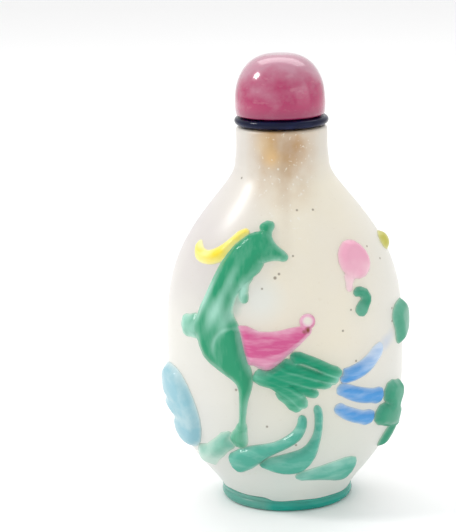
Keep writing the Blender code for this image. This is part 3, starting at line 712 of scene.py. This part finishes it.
def relief_glass(name, deep, faint, grain, stretch=(1, 1, 1), turn=(0, 0, 0), streak=0.35, flaws=()):
    """Coloured glass that pales where it is thin, with drawn out streaks.

    A flaw is (degrees, height, radius, soft edge, colour).
    """
    material, tree, shader = new_material(name, 0.3, coat=0.32, coat_roughness=0.05, gloss=0.12)
    drawn = levels(tree, noise(tree, grain, stretch, turn, 4.0), 0.35, 0.7, -streak / 2, streak)
    colour = mixed(tree, joined(tree, "ADD", painted(tree, "pale"), drawn, clamp=True), deep, faint)
    faded = joined(tree, "MULTIPLY", joined(tree, "POWER", painted(tree, "rim"), 1.2), 0.9)
    colour = mixed(tree, faded, colour, THIN_GLASS)
    for degrees, height, radius, soft, flaw in flaws:
        centre = spot_on_glass(degrees, height, FLAW_OFF)
        colour = mixed(tree, near(tree, centre, radius * MM, soft * MM), colour, flaw)
    tree.links.new(colour, shader.inputs["Base Color"])
    bumped(tree, shader, noise(tree, grain * 3, stretch, turn), 0.03 * MM)
    return material


def bird_drawing(degrees, height):
    """Fine lines of the neck feathers, and the thigh's round edge."""
    degree_width = 0.3
    neck_middle = -22 - 1.35 * (43 - height)
    across = (degrees - neck_middle) * degree_width
    strands = np.cos(across / 0.42) * share(height, 29, 33) * (1 - share(height, 40, 43))
    thigh_degrees, thigh_height = THIGH_MIDDLE
    thigh = np.hypot((degrees - thigh_degrees) * degree_width, (height - thigh_height) / 1.1)
    arc = np.exp(-(((thigh - THIGH_HALF) / 0.3) ** 2)) * share(height, 26.5, 29)
    return 0.2 * strands + 0.3 * arc, 0.04 * strands + 0.16 * arc


bird_green = relief_glass("bird_green", BIRD_GREEN, BIRD_PALE, 520, (1, 1, 0.28), (0, 24, 0), 0.22)
ground_pad("phoenix", bird_green, drawn=bird_drawing, spread=BIRD_SPREAD,
           pale=BIRD_PALE_SPOTS, dips=BIRD_DIPS)


# The wing: a pad of magenta glass beside the bird's thigh, deep along its middle. A ground line
# parts it from a paler lower lobe, and its tip curls round an open eye, by a rust brown flaw.
WING_DEEP = (198, 84, 136)
WING_PALE = (226, 184, 202)
RUST = (118, 62, 26)
WING_FLAWS = ((9.5, 31.7, 0.2, 0.5, RUST), (11.3, 32.3, 0.1, 0.3, RUST), (7.4, 31.4, 0.05, 0.4, RUST))
# The middle of the curl's eye and the dividing line, as (degrees, height).
WING_EYE = (9.5, 33)
WING_DIVIDE = ((-24, 27.2), (-14, 27.4), (-7, 27.5), (0, 28.5), (5, 29.8), (10, 31.5))
WING_PALE_SPOTS = ((9.5, 33.4, 4, 1.4, 0.3), (-22, 29.4, 2.5, 3, 0.6), (-10, 31.6, 12, 0.5, 0.3))


def wing_drawing(degrees, height):
    """The paler lobe below the dividing line, the line itself, a pale rib and the curl's eye."""
    degree_width = 0.32
    above = height - np.interp(degrees, *zip(*WING_DIVIDE))
    lobe = 1 - share(above, -0.35, 0.15)
    groove = np.exp(-((above / 0.22) ** 2))
    rib = np.exp(-(((above - 2.6) / 0.5) ** 2))
    eye_degrees, eye_height = WING_EYE
    from_eye = np.hypot((degrees - eye_degrees) * degree_width, height - eye_height)
    eye = np.exp(-(from_eye / 0.75) ** 6)
    return 0.42 * lobe + 0.2 * groove + 0.15 * rib + 1.7 * eye, 0.1 * groove + 0.8 * eye


wing_pink = relief_glass("wing_pink", WING_DEEP, WING_PALE, 420, (1, 1, 5), (0, -6, 0), 0.2, WING_FLAWS)
ground_pad("wing", wing_pink, pale=WING_PALE_SPOTS, drawn=wing_drawing)


# The tail: six feathers of deep green glass, fanned from under the wing. They are one pad, and
# each feather is ground to a ridge, with a pale groove between it and the next.
TAIL_GREEN = (0, 140, 102)
TAIL_PALE = (132, 196, 172)
# The feathers' middle lines, as (degrees, height).
TAIL_LINES = (
    ((-6, 27.9), (7.8, 26.8), (25, 23.9)),
    ((-8, 26.7), (5.1, 25.2), (14, 24), (24, 22.9)),
    ((-10, 25.6), (0.7, 24.2), (8.6, 23.3), (20.1, 22)),
    ((-13, 24.6), (-3.8, 23.4), (4.1, 22.4), (13.5, 20.8)),
    ((-14.4, 24), (-6, 23), (0.6, 21.7), (8, 18.8)),
    ((-10, 22.8), (-3.9, 21.4), (0.5, 20.1), (5, 18.3)),
)
TAIL_PALE_SPOTS = ((26, 23.6, 5, 1.1, 0.6), (25, 22.8, 5, 1, 0.5), (20, 22, 4, 0.9, 0.6),
                   (13.5, 20.7, 3, 0.9, 0.5), (8, 19, 3, 0.9, 0.5), (5, 18.4, 3, 0.8, 0.4),
                   (-13, 24.4, 5, 1.6, 0.35), (0, 20.4, 9, 1.3, 0.3))


def tail_drawing(degrees, height):
    """Pale grooves between the feathers, where two middle lines are as near as each other."""
    gaps = [np.abs(height - np.interp(degrees, *zip(*line))) for line in TAIL_LINES]
    nearest = np.sort(gaps, axis=0)
    between = share(nearest[0] / (nearest[0] + nearest[1] + 1e-6), 0.26, 0.5)
    between *= 0.35 + 0.65 * share(degrees, -4, 12)
    return 0.6 * between**1.5, 0.2 * between


tail_green = relief_glass("tail_green", TAIL_GREEN, TAIL_PALE, 330, (1, 1, 5), (0, 14, 0), 0.14)
ground_pad("tail", tail_green, drawn=tail_drawing, edge=1.0 * MM, pale=TAIL_PALE_SPOTS)


# The crest ribbon: a streamer of yellow glass that curls back from the bird's head, with a hook at
# its end. It is a thin trail of glass, so it pales where it bends.
RIBBON_YELLOW = (236, 212, 52)
RIBBON_PALE = (246, 238, 168)
RIBBON_PALE_SPOTS = ((-57, 44.3, 4, 1.5, 0.5), (-48, 42.6, 7, 0.6, 0.5), (-33, 44.6, 4, 1.4, 0.4))

ribbon_yellow = relief_glass("ribbon_yellow", RIBBON_YELLOW, RIBBON_PALE, 260, (1, 1, 2), (0, 20, 0), 0.3)
ground_pad("crest_ribbon", ribbon_yellow, spread=((0, 0.35),), pale=RIBBON_PALE_SPOTS)


# The three plumes: bars of blue glass that carry the tail on round the side. They were laid end to
# end with the green and ground with it, and the upper one thins out to milky white.
PLUME_BLUE = (74, 146, 208)
PLUME_PALE = (196, 212, 232)

plume_blue = relief_glass("plume_blue", PLUME_BLUE, PLUME_PALE, 300, (1, 1, 4), streak=0.25)
ground_pad("upper_plume", plume_blue, pale=((50, 27, 8, 2.6, 0.8), (41, 25.6, 8, 1.6, 0.3)))
ground_pad("middle_plume", plume_blue, pale=((25, 21.6, 3, 1, 0.2),))
ground_pad("lower_plume", plume_blue, pale=((24, 19, 3, 1, 0.2), (36, 18.2, 6, 0.9, 0.3)))


# The side branch and its leaves: thick knobs of green glass on the narrow side, where the plumes
# end, a leaf above them, and a small curled leaf at the blossom's stem.
SIDE_GREEN = (54, 145, 114)
SIDE_PALE = (120, 182, 160)

side_green = relief_glass("side_green", SIDE_GREEN, SIDE_PALE, 260, streak=0.3)
ground_pad("side_branch", side_green, edge=1.4 * MM)
ground_pad("side_leaf", side_green, edge=1.6 * MM, pale=((64, 33, 8, 4, 0.3),))
ground_pad("small_leaf", side_green, pale=((38, 34.2, 2, 0.8, 0.35),))


# The bud and the blossom: a knob of olive yellow glass high on the right side, and a disc of pale
# pink glass with its stem, each a pour of its own.
BUD_OLIVE = (186, 182, 84)
BUD_PALE = (212, 208, 140)
BLOSSOM_PINK = (222, 160, 182)
BLOSSOM_PALE = (234, 208, 212)

bud_olive = relief_glass("bud_olive", BUD_OLIVE, BUD_PALE, 260)
ground_pad("bud", bud_olive, edge=1.4 * MM)
blossom_pink = relief_glass("blossom_pink", BLOSSOM_PINK, BLOSSOM_PALE, 260, streak=0.2)
ground_pad("blossom", blossom_pink,
           pale=((34, 38.5, 4, 1.6, 0.7), (45, 39.8, 4, 1.2, 0.5)))


# The cloud: three swells of pale blue glass, one over the other, that wrap round the left side.
# They are one pad, ground into lobes by two grooves and a shallow dip.
CLOUD_BLUE = (138, 184, 196)
CLOUD_PALE = (190, 210, 212)
CLOUD_GROOVES = ((-94, 17.6, 18, 0.7, 0.55), (-80, 15.2, 14, 0.6, 0.5), (-66, 17.9, 14, 0.3, 0.1))
CLOUD_PALE_SPOTS = ((-94, 17.6, 18, 0.5, 0.5), (-80, 15.2, 14, 0.4, 0.5))

cloud_blue = relief_glass("cloud_blue", CLOUD_BLUE, CLOUD_PALE, 300, streak=0.5)
ground_pad("cloud", cloud_blue, edge=1.8 * MM, spread=((0, 0.3),),
           pale=CLOUD_PALE_SPOTS, dips=CLOUD_GROOVES)


# The leaves at the bottom and the rock: three long leaves of teal glass that sweep round the base,
# and the thin pale green pad that the bird stands on, ground so far down that it fades.
LEAF_TEAL = (76, 162, 142)
LEAF_PALE = (152, 204, 190)
LEAF_EDGE = 1.1 * MM
ROCK_GREEN = (84, 166, 142)
ROCK_PALE = (186, 212, 200)

leaf_teal = relief_glass("leaf_teal", LEAF_TEAL, LEAF_PALE, 300, (1, 1, 3), (0, 15, 0))
ground_pad("bent_leaf", leaf_teal, edge=LEAF_EDGE)
ground_pad("outer_leaf", leaf_teal, edge=LEAF_EDGE)
ground_pad("base_leaf", leaf_teal, pale=((10, 7.2, 8, 2, 0.4), (26, 8.4, 10, 2, 0.35)))
rock_green = relief_glass("rock_green", ROCK_GREEN, ROCK_PALE, 240, streak=0.3)
ground_pad("rock", rock_green, edge=1.6 * MM, spread=((0, 0.5),),
           pale=((-45, 10.2, 9, 2, 0.5), (-56, 8.4, 12, 2, 0.95)))


# The back: a plain spray with three leaves, and one blossom with a shallow heart. They are pads of
# the same green and magenta glass as the front, laid and ground in the same way.
ground_pad("back_spray", side_green)
ground_pad("back_blossom", wing_pink, dips=((178.5, 38.6, 3, 0.9, 0.3),))


# The studio: a plain pale floor, one lamp high on the left, a long soft one overhead and behind,
# a weak one on the right, and an even white surround.
FLOOR_HALF = 3.0
FLOOR_WHITE = (0.93, 0.93, 0.93, 1.0)
LAMPS_AIM = Vector((0, 0, 35 * MM))
SURROUND = 0.95
CAMERA_PLACE = Vector((-9.07, -290.0, 105.8)) * MM
CAMERA_PITCH = math.radians(13.0)
CAMERA_ROLL = math.radians(1.3)
CAMERA_LENS = 123.6

floor_cage = bmesh.new()
bmesh.ops.create_grid(floor_cage, x_segments=1, y_segments=1, size=FLOOR_HALF)
floor_mesh = bpy.data.meshes.new("floor")
floor_cage.to_mesh(floor_mesh)
floor_cage.free()
floor = bpy.data.objects.new("floor", floor_mesh)
bpy.context.scene.collection.objects.link(floor)
floor_paint, tree, shader = new_material("floor", 0.7)
shader.inputs["Base Color"].default_value = FLOOR_WHITE
floor_mesh.materials.append(floor_paint)


def lamp(name, direction, distance, size, power):
    """A flat lamp that stands so far off in this direction and shines on the bottle's middle."""
    light = bpy.data.lights.new(name, "AREA")
    light.shape = "RECTANGLE"
    light.size, light.size_y = size
    light.energy = power
    holder = bpy.data.objects.new(name, light)
    bpy.context.scene.collection.objects.link(holder)
    aim = Vector(direction).normalized()
    holder.location = aim * distance + LAMPS_AIM
    holder.rotation_euler = aim.to_track_quat("Z", "Y").to_euler()


lamp("key", (-0.77, -0.04, 0.66), 0.7, (0.14, 0.14), 1.5)
lamp("overhead", (0.08, 0.46, 0.88), 0.6, (0.72, 0.3), 1.25)
lamp("fill", (0.85, -0.5, 0.1), 0.6, (0.4, 0.4), 0.34)
world = bpy.data.worlds.new("studio")
world.use_nodes = True
world.node_tree.nodes["Background"].inputs["Color"].default_value = (1.0, 1.0, 1.0, 1.0)
world.node_tree.nodes["Background"].inputs["Strength"].default_value = SURROUND
bpy.context.scene.world = world

forward = Vector((0, math.cos(CAMERA_PITCH), -math.sin(CAMERA_PITCH)))
right = Vector((1, 0, 0))
up = right.cross(forward)
right_turned = right * math.cos(CAMERA_ROLL) - up * math.sin(CAMERA_ROLL)
up_turned = up * math.cos(CAMERA_ROLL) + right * math.sin(CAMERA_ROLL)
eye = bpy.data.cameras.new("camera")
eye.lens = CAMERA_LENS
eye.clip_start = 0.01
camera = bpy.data.objects.new("camera", eye)
bpy.context.scene.collection.objects.link(camera)
turned = Matrix((right_turned, up_turned, -forward)).transposed().to_4x4()
camera.matrix_world = Matrix.Translation(CAMERA_PLACE) @ turned
bpy.context.scene.camera = camera
bpy.context.scene.view_settings.view_transform = "Standard"
